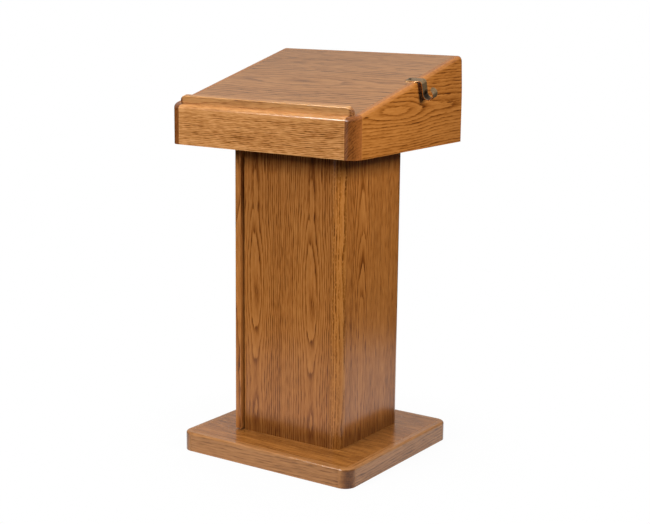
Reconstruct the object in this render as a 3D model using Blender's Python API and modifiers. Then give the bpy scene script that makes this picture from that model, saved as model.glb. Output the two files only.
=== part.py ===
"""Floor-standing oak lectern: a plinth, a cupboard column with a side door, and a sloping desk.

Metres, +Z up. The origin is on the floor under the middle of the plinth. The speaker stands on the
-Y side, at the low edge of the desk, and +X is at the speaker's right.
"""
import math

import bmesh
import bpy
from mathutils import Matrix, Vector

# Gap left between pieces that are glued, screwed or seated together
FIT_GAP = 0.0003

# Plinth
BASE_WIDTH = 0.5925
BASE_DEPTH = 0.5555
BASE_HEIGHT = 0.057
BASE_RAIL = 0.022
BASE_CORNER_RADIUS = 0.034
BASE_EDGE_ROUND = 0.007
BASE_TOP_THICKNESS = 0.019
BASE_BOTTOM_THICKNESS = 0.009

# Column, which is also the cupboard's carcass
COLUMN_WIDTH = 0.335
COLUMN_DEPTH = 0.333
COLUMN_HEIGHT = 0.8566
COLUMN_SHIFT_X = 0.014
COLUMN_SHIFT_Y = 0.0092
COLUMN_PANEL = 0.019
COLUMN_POST_RADIUS = 0.030
PLATE_THICKNESS = 0.019
STILE_WIDTH = 0.030
STILE_THICKNESS = 0.019
SHELF_COUNT = 2
SHELF_THICKNESS = 0.016
CLEAT_SIDE = 0.019
CLEAT_END_SPACE = 0.020

# Door on the column's left
DOOR_THICKNESS = 0.020
DOOR_JAMB_GAP = 0.0038
DOOR_FRONT_LIP = 0.012
DOOR_END_GAP = 0.003

# Butt hinges, with their leaves in the gap between the door and the carcass
HINGE_COUNT = 3
HINGE_HEIGHT = 0.060
HINGE_END_SPACE = 0.075
LEAF_WIDTH = 0.026
LEAF_SEPARATION = 0.0004
KNUCKLE_RADIUS = 0.0036
PIN_RADIUS = 0.0015
PIN_HEAD_RADIUS = 0.0028
PIN_HEAD_HEIGHT = 0.0015
PIN_CROWN_SHARE = 0.6

# Magnetic catch at mid-height of the front jamb
CATCH_WIDTH = 0.014
CATCH_DEPTH = 0.020
CATCH_HEIGHT = 0.046
STRIKE_THICKNESS = 0.0012
STRIKE_MARGIN = 0.002

# Desk
DESK_WIDTH = 0.626
DESK_DEPTH = 0.5713
DESK_SHIFT_Y = -0.01085
DESK_FRONT_HEIGHT = 0.1098
DESK_BACK_HEIGHT = 0.2544
DESK_PANEL = 0.019
DESK_BACK_PANEL = 0.025
DESK_BOTTOM_THICKNESS = 0.019
DESK_POST_RADIUS = 0.033
DESK_EDGE_ROUND = 0.009
DESK_BACK_ROUND_RADIUS = 0.018
READING_TOP_THICKNESS = 0.019
TOP_CLEAT_SIDE = 0.022
TOP_CLEAT_END_SPACE = 0.040

# Book stop, square to the reading top
STOP_LENGTH = 0.577
STOP_SHIFT_X = 0.0026
STOP_THICKNESS = 0.017
STOP_HEIGHT = 0.0235
STOP_SETBACK = 0.018
STOP_END_RADIUS = 0.015
STOP_EDGE_ROUND = 0.003

# Bent strap hook on the desk's right edge
HOOK_WIDTH = 0.0265
HOOK_THICKNESS = 0.002
HOOK_CENTRE_FROM_FRONT = 0.3225
HOOK_TOP_LEG = 0.052
HOOK_STANDOFF = 0.0135
HOOK_TOP_BEND = 0.008
HOOK_DROP = 0.036
HOOK_CURL_RADIUS = 0.0155
HOOK_CURL_PAST_LEVEL = math.radians(35)
HOOK_TIP_LENGTH = 0.010
HOOK_TIP_ROUND = 0.013
HOOK_SCREW_INSET = 0.008

# Wood screws: four through the plinth, four through the column's top plate, one in the hook
SCREW_RADIUS = 0.0021
SCREW_HEAD_RADIUS = 0.0042
SCREW_HEAD_HEIGHT = 0.0026
SCREW_CROWN_WIDTH_SHARE = 0.55
SCREW_CROWN_HEIGHT_SHARE = 0.9
SCREW_RIM_HEIGHT_SHARE = 0.35
SCREW_LENGTH = 0.030
SCREW_POINT = 0.006
SCREW_INSET = 0.045
HOOK_SCREW_LENGTH = 0.016

# Facets on round forms
POST_STEPS = 10
EDGE_STEPS = 5
ARC_STEP = math.radians(12)
TURNED_STEPS = 16

# Levels and places worked out from the driving dimensions
BASE_HALF_X = BASE_WIDTH / 2
BASE_HALF_Y = BASE_DEPTH / 2
COLUMN_LEFT = COLUMN_SHIFT_X - COLUMN_WIDTH / 2
COLUMN_RIGHT = COLUMN_SHIFT_X + COLUMN_WIDTH / 2
COLUMN_FRONT = COLUMN_SHIFT_Y - COLUMN_DEPTH / 2
COLUMN_BACK = COLUMN_SHIFT_Y + COLUMN_DEPTH / 2
COLUMN_FOOT = BASE_HEIGHT + FIT_GAP
DESK_FLOOR = BASE_HEIGHT + COLUMN_HEIGHT
COLUMN_HEAD = DESK_FLOOR - FIT_GAP
INNER_FRONT = COLUMN_FRONT + COLUMN_PANEL + FIT_GAP
INNER_BACK = COLUMN_BACK - COLUMN_PANEL - FIT_GAP
INNER_RIGHT = COLUMN_RIGHT - COLUMN_PANEL - FIT_GAP
CUPBOARD_FLOOR = COLUMN_FOOT + PLATE_THICKNESS
CUPBOARD_CEILING = COLUMN_HEAD - PLATE_THICKNESS
DOOR_INNER = COLUMN_LEFT - DOOR_JAMB_GAP
DOOR_OUTER = DOOR_INNER - DOOR_THICKNESS
DOOR_FOOT = BASE_HEIGHT + DOOR_END_GAP
DOOR_HEAD = DESK_FLOOR - DOOR_END_GAP
LEAF_THICKNESS = (DOOR_JAMB_GAP - LEAF_SEPARATION) / 2 - FIT_GAP
HINGE_X = COLUMN_LEFT - DOOR_JAMB_GAP / 2
HINGE_Y = COLUMN_BACK + KNUCKLE_RADIUS + FIT_GAP
BORE_RADIUS = PIN_RADIUS + FIT_GAP
SCREW_HOLE_RADIUS = SCREW_RADIUS + FIT_GAP
DESK_HALF_X = DESK_WIDTH / 2
DESK_FRONT = DESK_SHIFT_Y - DESK_DEPTH / 2
DESK_BACK = DESK_SHIFT_Y + DESK_DEPTH / 2
SLOPE = (DESK_BACK_HEIGHT - DESK_FRONT_HEIGHT) / DESK_DEPTH
SLOPE_ANGLE = math.atan(SLOPE)
DESK_INNER_X = DESK_HALF_X - DESK_PANEL - FIT_GAP
DESK_INNER_FRONT = DESK_FRONT + DESK_PANEL + FIT_GAP
DESK_INNER_BACK = DESK_BACK - DESK_BACK_PANEL - FIT_GAP
TOP_UNDERSIDE_DROP = READING_TOP_THICKNESS / math.cos(SLOPE_ANGLE)


def slope_height(y):
    """Height of the reading surface above the floor at a depth."""
    return DESK_FLOOR + DESK_FRONT_HEIGHT + SLOPE * (y - DESK_FRONT)


def collection(name):
    made = bpy.data.collections.new(name)
    bpy.context.scene.collection.children.link(made)
    return made


def finish(name, colour, roughness, metallic=0.0):
    """A plain surface material for one kind of piece."""
    material = bpy.data.materials.new(name)
    material.use_nodes = True
    shader = material.node_tree.nodes["Principled BSDF"]
    shader.inputs["Base Color"].default_value = (*colour, 1.0)
    shader.inputs["Roughness"].default_value = roughness
    shader.inputs["Metallic"].default_value = metallic
    return material


def add_piece(name, mesh_edit, material, origin, parent=None):
    """Turn an edited mesh, in world coordinates, into a named part with its origin at a point."""
    origin = Vector(origin)
    bmesh.ops.recalc_face_normals(mesh_edit, faces=mesh_edit.faces)
    bmesh.ops.translate(mesh_edit, verts=mesh_edit.verts, vec=-origin)
    mesh = bpy.data.meshes.new(name)
    mesh_edit.to_mesh(mesh)
    mesh_edit.free()
    mesh.shade_smooth()
    mesh.set_sharp_from_angle(angle=math.radians(30))
    mesh.materials.append(material)
    piece = bpy.data.objects.new(name, mesh)
    PARTS.objects.link(piece)
    piece.location = origin
    if parent:
        piece.parent = parent
        piece.location = origin - parent.location
    return piece


def box_edit(low, high):
    size = Vector(high) - Vector(low)
    middle = (Vector(high) + Vector(low)) / 2
    edit = bmesh.new()
    bmesh.ops.create_cube(edit, size=1.0, matrix=Matrix.Translation(middle) @ Matrix.Diagonal((*size, 1.0)))
    return edit


def prism_edit(outline, travel):
    """Extrude a closed outline of 3D points along a vector."""
    edit = bmesh.new()
    face = edit.faces.new([edit.verts.new(point) for point in outline])
    grown = bmesh.ops.extrude_face_region(edit, geom=[face])
    moved = [item for item in grown["geom"] if isinstance(item, bmesh.types.BMVert)]
    bmesh.ops.translate(edit, verts=moved, vec=travel)
    return edit


def round_over(edit, offset, wanted):
    """Round every edge whose two ends both satisfy a test on their position."""
    edges = [edge for edge in edit.edges if all(wanted(vertex.co) for vertex in edge.verts)]
    bmesh.ops.bevel(edit, geom=edges, offset=offset, offset_type="OFFSET", segments=EDGE_STEPS,
                    profile=0.5, affect="EDGES", clamp_overlap=False)


def board(name, low, high, material, parent=None):
    """A plain rectangular board between two corners."""
    middle = (Vector(low) + Vector(high)) / 2
    return add_piece(name, box_edit(low, high), material, middle, parent)


def near(value, target):
    return abs(value - target) < FIT_GAP / 10


def corner_outline(centre_x, centre_y, side_x, side_y, radius, wall):
    """Plan of a quarter-round post: an arc outside and a square rebate inside for the panels."""
    quarter = [math.pi / 2 * step / POST_STEPS for step in range(POST_STEPS + 1)]
    plan = [(radius * math.cos(turn), radius * math.sin(turn)) for turn in quarter]
    rebate = radius - wall
    plan += [(0.0, rebate), (rebate, rebate), (rebate, 0.0)]
    return [(centre_x + side_x * x, centre_y + side_y * y) for x, y in plan]


def on_arc(point, centre_x, centre_y, radius):
    return near(math.hypot(point.x - centre_x, point.y - centre_y), radius)


def turned_edit(profile):
    """Turn a profile of (radius, height) points, listed from the top down, about the Z axis."""
    edit = bmesh.new()
    corners = [edit.verts.new((radius, 0.0, height)) for radius, height in profile]
    edges = [edit.edges.new(pair) for pair in zip(corners, corners[1:])]
    bmesh.ops.spin(edit, geom=corners + edges, axis=(0, 0, 1), cent=(0, 0, 0), steps=TURNED_STEPS,
                   angle=2 * math.pi, use_merge=True)
    bmesh.ops.remove_doubles(edit, verts=edit.verts, dist=FIT_GAP / 100)
    return edit


def screw_piece(name, seat, direction, length, material):
    """A wood screw whose head sits on a point and whose shank runs along a direction."""
    profile = [
        (0.0, SCREW_HEAD_HEIGHT),
        (SCREW_HEAD_RADIUS * SCREW_CROWN_WIDTH_SHARE, SCREW_HEAD_HEIGHT * SCREW_CROWN_HEIGHT_SHARE),
        (SCREW_HEAD_RADIUS, SCREW_HEAD_HEIGHT * SCREW_RIM_HEIGHT_SHARE),
        (SCREW_HEAD_RADIUS, 0.0),
        (SCREW_RADIUS, 0.0),
        (SCREW_RADIUS, SCREW_POINT - length),
        (0.0, -length),
    ]
    edit = turned_edit(profile)
    turn = Vector((0, 0, -1)).rotation_difference(Vector(direction)).to_matrix().to_4x4()
    bmesh.ops.transform(edit, matrix=Matrix.Translation(seat) @ turn, verts=edit.verts)
    return add_piece(name, edit, material, seat)


def add_cutter(name, edit):
    bmesh.ops.recalc_face_normals(edit, faces=edit.faces)
    mesh = bpy.data.meshes.new(name)
    edit.to_mesh(mesh)
    edit.free()
    cutter = bpy.data.objects.new(name, mesh)
    CUTTERS.objects.link(cutter)
    cutter.hide_render = True
    cutter.display_type = "WIRE"
    return cutter


def cut(piece, cutter):
    modifier = piece.modifiers.new(cutter.name, "BOOLEAN")
    modifier.operation = "DIFFERENCE"
    modifier.solver = "EXACT"
    modifier.object = cutter


def rod_edit(places, radius, length, direction):
    """Round rods centred on points, all along one direction."""
    edit = bmesh.new()
    turn = Vector((0, 0, 1)).rotation_difference(Vector(direction)).to_matrix().to_4x4()
    for place in places:
        bmesh.ops.create_cone(edit, cap_ends=True, segments=TURNED_STEPS, radius1=radius, radius2=radius,
                              depth=length, matrix=Matrix.Translation(place) @ turn)
    return edit


def build_plinth():
    """Rails and quarter-round corner blocks round a top panel, with a thin closing bottom."""
    reach_x = BASE_HALF_X - BASE_CORNER_RADIUS
    reach_y = BASE_HALF_Y - BASE_CORNER_RADIUS
    for name, side in (("front", -1), ("back", 1)):
        outer = side * BASE_HALF_Y
        ys = sorted((outer, outer - side * BASE_RAIL))
        edit = box_edit((FIT_GAP - reach_x, ys[0], 0.0), (reach_x - FIT_GAP, ys[1], BASE_HEIGHT))
        round_over(edit, BASE_EDGE_ROUND, lambda p: near(p.y, outer) and near(p.z, BASE_HEIGHT))
        add_piece(f"base_rail_{name}", edit, OAK_SOLID, (0.0, outer, 0.0))
    for name, side in (("left", -1), ("right", 1)):
        outer = side * BASE_HALF_X
        xs = sorted((outer, outer - side * BASE_RAIL))
        edit = box_edit((xs[0], FIT_GAP - reach_y, 0.0), (xs[1], reach_y - FIT_GAP, BASE_HEIGHT))
        round_over(edit, BASE_EDGE_ROUND, lambda p: near(p.x, outer) and near(p.z, BASE_HEIGHT))
        add_piece(f"base_rail_{name}", edit, OAK_SOLID, (outer, 0.0, 0.0))
    for end, side_y in (("front", -1), ("back", 1)):
        for hand, side_x in (("left", -1), ("right", 1)):
            centre_x = side_x * reach_x
            centre_y = side_y * reach_y
            plan = corner_outline(centre_x, centre_y, side_x, side_y, BASE_CORNER_RADIUS, BASE_RAIL)
            edit = prism_edit([(x, y, 0.0) for x, y in plan], (0.0, 0.0, BASE_HEIGHT))
            round_over(edit, BASE_EDGE_ROUND, lambda p: near(p.z, BASE_HEIGHT)
                       and on_arc(p, centre_x, centre_y, BASE_CORNER_RADIUS))
            add_piece(f"base_corner_{end}_{hand}", edit, OAK_POST, (centre_x, centre_y, 0.0))
    inner_x = BASE_HALF_X - BASE_RAIL - FIT_GAP
    inner_y = BASE_HALF_Y - BASE_RAIL - FIT_GAP
    top_low = (-inner_x, -inner_y, BASE_HEIGHT - BASE_TOP_THICKNESS)
    top = board("base_top_panel", top_low, (inner_x, inner_y, BASE_HEIGHT), OAK_PANEL)
    board("base_bottom_panel", (-inner_x, -inner_y, 0.0), (inner_x, inner_y, BASE_BOTTOM_THICKNESS),
          OAK_INSIDE)
    return top


def build_column():
    """Three panels, two round posts and two jamb stiles round a bottom and a top plate."""
    corner_x = COLUMN_RIGHT - COLUMN_POST_RADIUS
    front_corner_y = COLUMN_FRONT + COLUMN_POST_RADIUS
    back_corner_y = COLUMN_BACK - COLUMN_POST_RADIUS
    board("column_front_panel", (COLUMN_LEFT, COLUMN_FRONT, COLUMN_FOOT),
          (corner_x - FIT_GAP, COLUMN_FRONT + COLUMN_PANEL, COLUMN_HEAD), OAK_PANEL)
    board("column_back_panel", (COLUMN_LEFT, COLUMN_BACK - COLUMN_PANEL, COLUMN_FOOT),
          (corner_x - FIT_GAP, COLUMN_BACK, COLUMN_HEAD), OAK_PANEL)
    board("column_right_panel", (COLUMN_RIGHT - COLUMN_PANEL, front_corner_y + FIT_GAP, COLUMN_FOOT),
          (COLUMN_RIGHT, back_corner_y - FIT_GAP, COLUMN_HEAD), OAK_PANEL)
    for name, centre_y, side_y in (("front", front_corner_y, -1), ("back", back_corner_y, 1)):
        plan = corner_outline(corner_x, centre_y, 1, side_y, COLUMN_POST_RADIUS, COLUMN_PANEL)
        edit = prism_edit([(x, y, COLUMN_FOOT) for x, y in plan], (0.0, 0.0, COLUMN_HEAD - COLUMN_FOOT))
        add_piece(f"column_post_{name}", edit, OAK_POST, (corner_x, centre_y, COLUMN_FOOT))
    bottom = board("column_bottom_plate", (COLUMN_LEFT, INNER_FRONT, COLUMN_FOOT),
                   (INNER_RIGHT, INNER_BACK, CUPBOARD_FLOOR), OAK_INSIDE)
    top = board("column_top_plate", (COLUMN_LEFT, INNER_FRONT, CUPBOARD_CEILING),
                (INNER_RIGHT, INNER_BACK, COLUMN_HEAD), OAK_INSIDE)
    stile_foot = CUPBOARD_FLOOR + FIT_GAP
    stile_head = CUPBOARD_CEILING - FIT_GAP
    stile_right = COLUMN_LEFT + STILE_THICKNESS
    board("jamb_stile_front", (COLUMN_LEFT, INNER_FRONT, stile_foot),
          (stile_right, INNER_FRONT + STILE_WIDTH, stile_head), OAK_SOLID)
    board("jamb_stile_back", (COLUMN_LEFT, INNER_BACK - STILE_WIDTH, stile_foot),
          (stile_right, INNER_BACK, stile_head), OAK_SOLID)
    return bottom, top


def build_shelves():
    """Fixed shelves that divide the cupboard evenly, each on a front and a back cleat."""
    shelf_left = COLUMN_LEFT + STILE_THICKNESS + FIT_GAP
    step = (CUPBOARD_CEILING - CUPBOARD_FLOOR) / (SHELF_COUNT + 1)
    for number in range(1, SHELF_COUNT + 1):
        level = CUPBOARD_FLOOR + step * number
        board(f"shelf_{number}", (shelf_left, INNER_FRONT, level),
              (INNER_RIGHT, INNER_BACK, level + SHELF_THICKNESS), OAK_INSIDE)
        cleat_low = level - FIT_GAP - CLEAT_SIDE
        cleat_left = shelf_left + CLEAT_END_SPACE
        cleat_right = INNER_RIGHT - CLEAT_END_SPACE
        for name, low_y in (("front", INNER_FRONT), ("back", INNER_BACK - CLEAT_SIDE)):
            board(f"shelf_{number}_cleat_{name}", (cleat_left, low_y, cleat_low),
                  (cleat_right, low_y + CLEAT_SIDE, level - FIT_GAP), OAK_INSIDE)


def leaf_edit(side):
    """Plan of one hinge leaf about the pin: a flat plate running into a round knuckle."""
    near_x = LEAF_SEPARATION / 2
    far_x = near_x + LEAF_THICKNESS
    start = math.asin(far_x / KNUCKLE_RADIUS) - math.pi / 2
    stop = math.asin(near_x / KNUCKLE_RADIUS) + 3 * math.pi / 2
    turns = [start + (stop - start) * step / TURNED_STEPS for step in range(TURNED_STEPS + 1)]
    plan = [(KNUCKLE_RADIUS * math.cos(turn), KNUCKLE_RADIUS * math.sin(turn)) for turn in turns]
    plan += [(near_x, -LEAF_WIDTH), (far_x, -LEAF_WIDTH)]
    return prism_edit([(side * x, y, -HINGE_HEIGHT / 2) for x, y in plan], (0.0, 0.0, HINGE_HEIGHT))


def knuckle_gap_edit(low, high):
    """Room for the other leaf's knuckle, between two levels."""
    reach = KNUCKLE_RADIUS * 2
    return box_edit((-reach, -KNUCKLE_RADIUS - FIT_GAP, low), (reach, reach, high))


def build_hinge(number, level, pivot):
    """One butt hinge: the carcass leaf has the outer knuckles, the door leaf the middle one."""
    place = Vector((HINGE_X, HINGE_Y, level))
    third = HINGE_HEIGHT / 6
    past = HINGE_HEIGHT
    bore = add_cutter(f"hinge_{number}_bore", rod_edit([place], BORE_RADIUS, past * 2, (0, 0, 1)))
    spaces = {
        "frame": [(-third, third)],
        "door": [(third - FIT_GAP, past), (-past, FIT_GAP - third)],
    }
    for owner, side, parent in (("frame", 1, None), ("door", -1, pivot)):
        edit = leaf_edit(side)
        bmesh.ops.translate(edit, verts=edit.verts, vec=place)
        leaf = add_piece(f"hinge_{number}_{owner}_leaf", edit, BRASS, place, parent)
        for index, (low, high) in enumerate(spaces[owner]):
            space = knuckle_gap_edit(low, high)
            bmesh.ops.translate(space, verts=space.verts, vec=place)
            cut(leaf, add_cutter(f"hinge_{number}_{owner}_space_{index}", space))
        cut(leaf, bore)
    half = HINGE_HEIGHT / 2
    profile = [
        (0.0, half + FIT_GAP + PIN_HEAD_HEIGHT),
        (PIN_HEAD_RADIUS * PIN_CROWN_SHARE, half + FIT_GAP + PIN_HEAD_HEIGHT),
        (PIN_HEAD_RADIUS, half + FIT_GAP + PIN_HEAD_HEIGHT / 2),
        (PIN_HEAD_RADIUS, half + FIT_GAP),
        (PIN_RADIUS, half + FIT_GAP),
        (PIN_RADIUS, -half),
        (0.0, -half),
    ]
    edit = turned_edit(profile)
    bmesh.ops.translate(edit, verts=edit.verts, vec=place)
    add_piece(f"hinge_{number}_pin", edit, BRASS, place)


def build_door():
    """A full-height slab whose front edge stands proud as a finger pull."""
    pivot = bpy.data.objects.new("door_pivot", None)
    PARTS.objects.link(pivot)
    pivot.location = (HINGE_X, HINGE_Y, DOOR_FOOT)
    board("door_panel", (DOOR_OUTER, COLUMN_FRONT - DOOR_FRONT_LIP, DOOR_FOOT),
          (DOOR_INNER, COLUMN_BACK, DOOR_HEAD), OAK_PANEL, pivot)
    lowest = DOOR_FOOT + HINGE_END_SPACE + HINGE_HEIGHT / 2
    highest = DOOR_HEAD - HINGE_END_SPACE - HINGE_HEIGHT / 2
    for number in range(1, HINGE_COUNT + 1):
        level = lowest + (highest - lowest) * (number - 1) / max(HINGE_COUNT - 1, 1)
        build_hinge(number, level, pivot)
    catch_front = INNER_FRONT + STILE_WIDTH + FIT_GAP
    catch_level = (DOOR_FOOT + DOOR_HEAD) / 2
    strike_face = DOOR_INNER + FIT_GAP + STRIKE_THICKNESS
    catch_left = strike_face + FIT_GAP
    board("magnetic_catch", (catch_left, catch_front, catch_level - CATCH_HEIGHT / 2),
          (catch_left + CATCH_DEPTH, catch_front + CATCH_WIDTH, catch_level + CATCH_HEIGHT / 2), CATCH_BLACK)
    strike_half = CATCH_HEIGHT / 2 + STRIKE_MARGIN
    board("strike_plate", (DOOR_INNER + FIT_GAP, catch_front - STRIKE_MARGIN, catch_level - strike_half),
          (strike_face, catch_front + CATCH_WIDTH + STRIKE_MARGIN, catch_level + strike_half), STEEL, pivot)


def back_corner_arc():
    """Points, as (depth, height), round the desk's top back corner from the back face to the slope."""
    corner = math.pi / 2 - SLOPE_ANGLE
    tangent = DESK_BACK_ROUND_RADIUS / math.tan(corner / 2)
    centre_y = DESK_BACK - DESK_BACK_ROUND_RADIUS
    centre_z = slope_height(DESK_BACK) - tangent
    sweep = math.pi - corner
    steps = math.ceil(sweep / ARC_STEP)
    turns = [sweep * step / steps for step in range(steps + 1)]
    return [(centre_y + DESK_BACK_ROUND_RADIUS * math.cos(turn),
             centre_z + DESK_BACK_ROUND_RADIUS * math.sin(turn)) for turn in turns]


def on_slope(origin_y):
    """Frame on the reading surface: X across, Y up from the surface, Z down the slope."""
    place = Matrix.Translation((0.0, origin_y, slope_height(origin_y)))
    return place @ Matrix.Rotation(math.pi / 2 + SLOPE_ANGLE, 4, "X")


def build_desk():
    """Apron, sides and back round a flush reading top, with round posts at the front corners."""
    corner_x = DESK_HALF_X - DESK_POST_RADIUS
    corner_y = DESK_FRONT + DESK_POST_RADIUS
    arc = back_corner_arc()

    apron_half = corner_x - FIT_GAP
    apron_back = DESK_FRONT + DESK_PANEL
    profile = [
        (-apron_half, DESK_FRONT, DESK_FLOOR),
        (-apron_half, apron_back, DESK_FLOOR),
        (-apron_half, apron_back, slope_height(apron_back)),
        (-apron_half, DESK_FRONT, slope_height(DESK_FRONT)),
    ]
    edit = prism_edit(profile, (2 * apron_half, 0.0, 0.0))
    round_over(edit, DESK_EDGE_ROUND, lambda p: near(p.y, DESK_FRONT) and p.z > DESK_FLOOR + FIT_GAP)
    add_piece("desk_apron", edit, OAK_SOLID, (0.0, DESK_FRONT, DESK_FLOOR))

    for hand, side in (("left", -1), ("right", 1)):
        centre_x = side * corner_x
        plan = corner_outline(centre_x, corner_y, side, -1, DESK_POST_RADIUS, DESK_PANEL)
        edit = prism_edit([(x, y, DESK_FLOOR) for x, y in plan], (0.0, 0.0, DESK_FRONT_HEIGHT))
        for vertex in edit.verts:
            if vertex.co.z > DESK_FLOOR + FIT_GAP:
                vertex.co.z = slope_height(vertex.co.y)
        round_over(edit, DESK_EDGE_ROUND, lambda p: p.z > DESK_FLOOR + FIT_GAP
                   and on_arc(p, centre_x, corner_y, DESK_POST_RADIUS))
        add_piece(f"desk_post_{hand}", edit, OAK_POST, (centre_x, corner_y, DESK_FLOOR))

        outer = side * DESK_HALF_X
        inner = outer - side * DESK_PANEL
        side_front = corner_y + FIT_GAP
        outline = [(side_front, DESK_FLOOR), (DESK_BACK, DESK_FLOOR), *arc,
                   (side_front, slope_height(side_front))]
        edit = prism_edit([(inner, y, z) for y, z in outline], (outer - inner, 0.0, 0.0))
        arc_foot = arc[0][1] - FIT_GAP
        round_over(edit, DESK_EDGE_ROUND, lambda p: near(p.x, outer)
                   and (p.z > arc_foot or (near(p.y, side_front) and p.z > DESK_FLOOR + FIT_GAP)))
        add_piece(f"desk_side_{hand}", edit, OAK_PANEL, (outer, DESK_BACK, DESK_FLOOR))

    back_front = DESK_BACK - DESK_BACK_PANEL
    outline = [(back_front, DESK_FLOOR), (DESK_BACK, DESK_FLOOR), *arc,
               (back_front, slope_height(back_front))]
    edit = prism_edit([(-DESK_INNER_X, y, z) for y, z in outline], (2 * DESK_INNER_X, 0.0, 0.0))
    add_piece("desk_back_panel", edit, OAK_PANEL, (0.0, DESK_BACK, DESK_FLOOR))

    bottom = board("desk_bottom_panel", (-DESK_INNER_X, DESK_INNER_FRONT, DESK_FLOOR),
                   (DESK_INNER_X, DESK_INNER_BACK, DESK_FLOOR + DESK_BOTTOM_THICKNESS), OAK_INSIDE)

    front_z = slope_height(DESK_INNER_FRONT)
    back_z = slope_height(DESK_INNER_BACK)
    outline = [
        (-DESK_INNER_X, DESK_INNER_FRONT, front_z - TOP_UNDERSIDE_DROP),
        (-DESK_INNER_X, DESK_INNER_BACK, back_z - TOP_UNDERSIDE_DROP),
        (-DESK_INNER_X, DESK_INNER_BACK, back_z),
        (-DESK_INNER_X, DESK_INNER_FRONT, front_z),
    ]
    edit = prism_edit(outline, (2 * DESK_INNER_X, 0.0, 0.0))
    top = add_piece("reading_top", edit, OAK_PANEL, (0.0, DESK_INNER_FRONT, front_z))

    cleat_drop = TOP_UNDERSIDE_DROP + FIT_GAP
    cleat_depth = TOP_CLEAT_SIDE / math.cos(SLOPE_ANGLE)
    for hand, side in (("left", -1), ("right", 1)):
        outer = side * DESK_INNER_X
        ys = (DESK_INNER_FRONT + TOP_CLEAT_END_SPACE, DESK_INNER_BACK - TOP_CLEAT_END_SPACE)
        upper = [(outer, y, slope_height(y) - cleat_drop) for y in ys]
        lower = [(outer, y, slope_height(y) - cleat_drop - cleat_depth) for y in reversed(ys)]
        edit = prism_edit(upper + lower, (-side * TOP_CLEAT_SIDE, 0.0, 0.0))
        add_piece(f"top_cleat_{hand}", edit, OAK_INSIDE, upper[0])
    return bottom, top


def build_book_stop():
    """A strip with rounded ends and eased edges, square to the surface that it stands on."""
    half = STOP_LENGTH / 2
    straight = half - STOP_END_RADIUS
    quarter = [math.pi / 2 * step / POST_STEPS for step in range(POST_STEPS + 1)]
    shoulder = STOP_HEIGHT - STOP_END_RADIUS
    right = [(straight + STOP_END_RADIUS * math.cos(turn), shoulder + STOP_END_RADIUS * math.sin(turn))
             for turn in quarter]
    left = [(-x, y) for x, y in reversed(right)]
    outline = [(-half, FIT_GAP), (half, FIT_GAP), *right, *left]
    edit = prism_edit([(x, y, 0.0) for x, y in outline], (0.0, 0.0, -STOP_THICKNESS))
    ends = (0.0, -STOP_THICKNESS)
    edges = [edge for edge in edit.edges
             if any(all(near(v.co.z, end) for v in edge.verts) for end in ends)
             and any(v.co.y > FIT_GAP * 2 for v in edge.verts)]
    bmesh.ops.bevel(edit, geom=edges, offset=STOP_EDGE_ROUND, offset_type="OFFSET", segments=EDGE_STEPS,
                    profile=0.5, affect="EDGES", clamp_overlap=False)
    frame = Matrix.Translation((STOP_SHIFT_X, 0.0, 0.0)) @ on_slope(DESK_FRONT + STOP_SETBACK)
    bmesh.ops.transform(edit, matrix=frame, verts=edit.verts)
    add_piece("book_stop", edit, OAK_SOLID, frame.translation)


def hook_path():
    """Middle line of the strap, as (across, above the surface): top leg, bend, drop, curl and tip."""
    level = FIT_GAP + HOOK_THICKNESS / 2
    drop_x = DESK_HALF_X + HOOK_STANDOFF + HOOK_THICKNESS / 2
    bend_x = drop_x - HOOK_TOP_BEND
    path = [(drop_x - HOOK_TOP_LEG, level), (bend_x, level)]
    bend_steps = math.ceil(math.pi / 2 / ARC_STEP)
    for step in range(1, bend_steps + 1):
        turn = math.pi / 2 * (1 - step / bend_steps)
        path.append((bend_x + HOOK_TOP_BEND * math.cos(turn),
                     level - HOOK_TOP_BEND + HOOK_TOP_BEND * math.sin(turn)))
    curl_x = drop_x + HOOK_CURL_RADIUS
    sweep = math.pi + HOOK_CURL_PAST_LEVEL
    curl_steps = math.ceil(sweep / ARC_STEP)
    for step in range(curl_steps + 1):
        turn = math.pi + sweep * step / curl_steps
        path.append((curl_x + HOOK_CURL_RADIUS * math.cos(turn),
                     HOOK_CURL_RADIUS * math.sin(turn) - HOOK_DROP))
    lean_x = -math.sin(HOOK_CURL_PAST_LEVEL)
    lean_y = math.cos(HOOK_CURL_PAST_LEVEL)
    start = path[-1]
    for step in range(1, POST_STEPS + 1):
        run = HOOK_TIP_LENGTH * math.sin(math.pi / 2 * step / POST_STEPS)
        path.append((start[0] + lean_x * run, start[1] + lean_y * run))
    return path


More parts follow.
